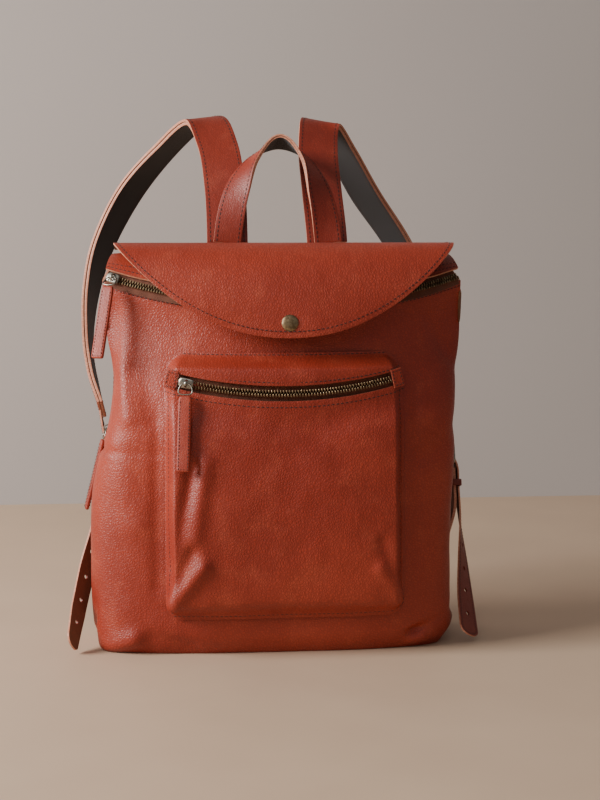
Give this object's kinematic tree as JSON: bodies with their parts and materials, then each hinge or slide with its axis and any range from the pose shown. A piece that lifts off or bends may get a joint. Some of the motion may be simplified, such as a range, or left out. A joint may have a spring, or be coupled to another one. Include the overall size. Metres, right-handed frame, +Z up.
{
  "type": "leather backpack",
  "caption": "Flap-top leather backpack with a curved zipped mouth, a zipped front pocket, a side zip, a grab handle and buckled shoulder straps.",
  "frame": {"origin": "middle of the base, on the surface that the bag stands on", "axes": "+Z up, front pocket and flap towards -Y, back panel and shoulder straps towards +Y, +X to the right as seen from the front"},
  "size_m": [0.3629, 0.2812, 0.4714],
  "materials": {
    "leather": "pebbled full-grain leather, semi-matte",
    "zip_tape": "woven cotton tape, matte",
    "dark_cloth": "tight black woven lining, matte",
    "lining_cloth": "cotton twill lining, matte",
    "antique_brass": "antiqued, satin",
    "nickel": "brushed nickel plate",
    "board": "pressed fibre board, matte"
  },
  "bodies": {
    "bag": {"front_panel": "leather", "left_gusset": "leather", "right_gusset": "leather", "back_panel": "leather", "base_panel": "leather", "pocket_front": "leather", "pocket_yoke": "leather", "pocket_end_tab_left": "leather", "pocket_end_tab_right": "leather", "anchor_patch": "leather", "left_belt": "leather", "left_chape": "leather", "left_keeper": "leather", "right_belt": "leather", "right_chape": "leather", "right_keeper": "leather", "main_tape_lower": "zip_tape", "pocket_tape_upper": "zip_tape", "pocket_tape_lower": "zip_tape", "side_tape_back": "zip_tape", "side_tape_front": "zip_tape", "lining": "lining_cloth", "slip_pocket": "lining_cloth", "main_chain_lower": "antique_brass", "pocket_chain_upper": "antique_brass", "pocket_chain_lower": "antique_brass", "side_chain_back": "antique_brass", "side_chain_front": "antique_brass", "snap_stud": "antique_brass", "snap_washer": "antique_brass", "left_buckle": "nickel", "left_prong": "nickel", "right_buckle": "nickel", "right_prong": "nickel", "base_board": "board"},
    "cap": {"top_cap": "leather", "flap_crown": "leather", "main_tape_upper": "zip_tape", "main_chain_upper": "antique_brass"},
    "flap": {"flap": "leather", "flap_lining": "dark_cloth", "snap_cap": "antique_brass", "snap_socket": "antique_brass"},
    "main_slider": {"main_slider": "nickel"},
    "main_ring": {"main_ring": "nickel"},
    "main_tab": {"main_tab": "leather"},
    "pocket_slider": {"pocket_slider": "nickel"},
    "pocket_ring": {"pocket_ring": "nickel"},
    "pocket_tab": {"pocket_tab": "leather"},
    "side_slider": {"side_slider": "nickel"},
    "side_ring": {"side_ring": "nickel"},
    "side_tab": {"side_tab": "leather"},
    "handle": {"handle": "leather", "handle_lining": "dark_cloth"},
    "left_strap": {"left_strap": "leather", "left_strap_lining": "dark_cloth"},
    "right_strap": {"right_strap": "leather", "right_strap_lining": "dark_cloth"},
    "left_tail": {"left_belt_tail": "leather"},
    "right_tail": {"right_belt_tail": "leather"}
  },
  "joints": [
    {"name": "mouth_lift", "type": "hinge", "parent": "bag", "child": "cap", "pos_m": [0, 0.05, 0.347], "axis": [-1, 0, 0], "range_deg": [0, 24], "deforming": ["main_chain_upper", "main_tape_upper"]},
    {"name": "flap_fold", "type": "hinge", "parent": "cap", "child": "flap", "pos_m": [0, -0.018, 0.354], "axis": [-1, 0, 0], "range_deg": [0, 120]},
    {"name": "main_zip_run", "type": "hinge", "parent": "bag", "child": "main_slider", "pos_m": [0, 0.19932, 0.43562], "axis": [0, -0.4639, 0.8859], "range_deg": [0, 62.5]},
    {"name": "main_ring_swing", "type": "hinge", "parent": "main_slider", "child": "main_ring", "pos_m": [-0.14882, -0.01772, 0.32455], "axis": [0.4615, 0.8851, -0.0602], "range_deg": [0, 29.2]},
    {"name": "main_tab_swing", "type": "hinge", "parent": "main_ring", "child": "main_tab", "pos_m": [-0.15197, -0.02378, 0.31795], "axis": [-0.8873, 0.4612, 0], "range_deg": [0, 95]},
    {"name": "pocket_zip_run", "type": "hinge", "parent": "bag", "child": "pocket_slider", "pos_m": [-0.0035, 0.13223, 0.42973], "axis": [0, -0.7071, 0.7071], "range_deg": [0, 34]},
    {"name": "pocket_ring_swing", "type": "hinge", "parent": "pocket_slider", "child": "pocket_ring", "pos_m": [-0.08774, -0.0641, 0.2364], "axis": [0.2067, 0.9782, -0.0219], "range_deg": [0, 24.5]},
    {"name": "pocket_tab_swing", "type": "hinge", "parent": "pocket_ring", "child": "pocket_tab", "pos_m": [-0.0882, -0.06635, 0.22718], "axis": [-0.9798, 0.2, 0], "range_deg": [0, 95]},
    {"name": "side_zip_run", "type": "hinge", "parent": "bag", "child": "side_slider", "pos_m": [-0.49991, 0.018, 0.2455], "axis": [0, -1, 0], "range_deg": [0, 18.4]},
    {"name": "side_ring_swing", "type": "hinge", "parent": "side_slider", "child": "side_ring", "pos_m": [-0.15588, 0.018, 0.18978], "axis": [0, -1, 0], "range_deg": [-18.5, 0]},
    {"name": "side_tab_swing", "type": "hinge", "parent": "side_ring", "child": "side_tab", "pos_m": [-0.15864, 0.01767, 0.18069], "axis": [-0.1191, 0.9929, 0], "range_deg": [0, 80]},
    {"name": "handle_swing", "type": "hinge", "parent": "bag", "child": "handle", "pos_m": [0, 0.053, 0.3525], "axis": [1, 0, 0], "range_deg": [0, 30]},
    {"name": "left_strap_swing", "type": "hinge", "parent": "bag", "child": "left_strap", "pos_m": [-0.0455, 0.059, 0.3525], "axis": [-0.5953, 0.1338, -0.7923], "range_deg": [-8, 14]},
    {"name": "right_strap_swing", "type": "hinge", "parent": "bag", "child": "right_strap", "pos_m": [0.0455, 0.059, 0.3525], "axis": [0.5953, 0.1338, -0.7923], "range_deg": [-14, 8]},
    {"name": "left_tail_swing", "type": "hinge", "parent": "bag", "child": "left_tail", "pos_m": [-0.1652, 0.0455, 0.13], "axis": [0, 1, 0], "range_deg": [0, 35]},
    {"name": "right_tail_swing", "type": "hinge", "parent": "bag", "child": "right_tail", "pos_m": [0.1652, 0.0455, 0.13], "axis": [0, -1, 0], "range_deg": [0, 35]}
  ],
  "couplings": [
    {"joint": "mouth_lift", "follows": "flap_fold", "ratio": 0.2},
    {"joint": "main_zip_run", "follows": "flap_fold", "ratio": 0.52},
    {"joint": "main_ring_swing", "follows": "flap_fold", "ratio": 0.24124},
    {"joint": "pocket_ring_swing", "follows": "pocket_zip_run", "ratio": 0.70711},
    {"joint": "side_ring_swing", "follows": "side_zip_run", "ratio": -1}
  ]
}
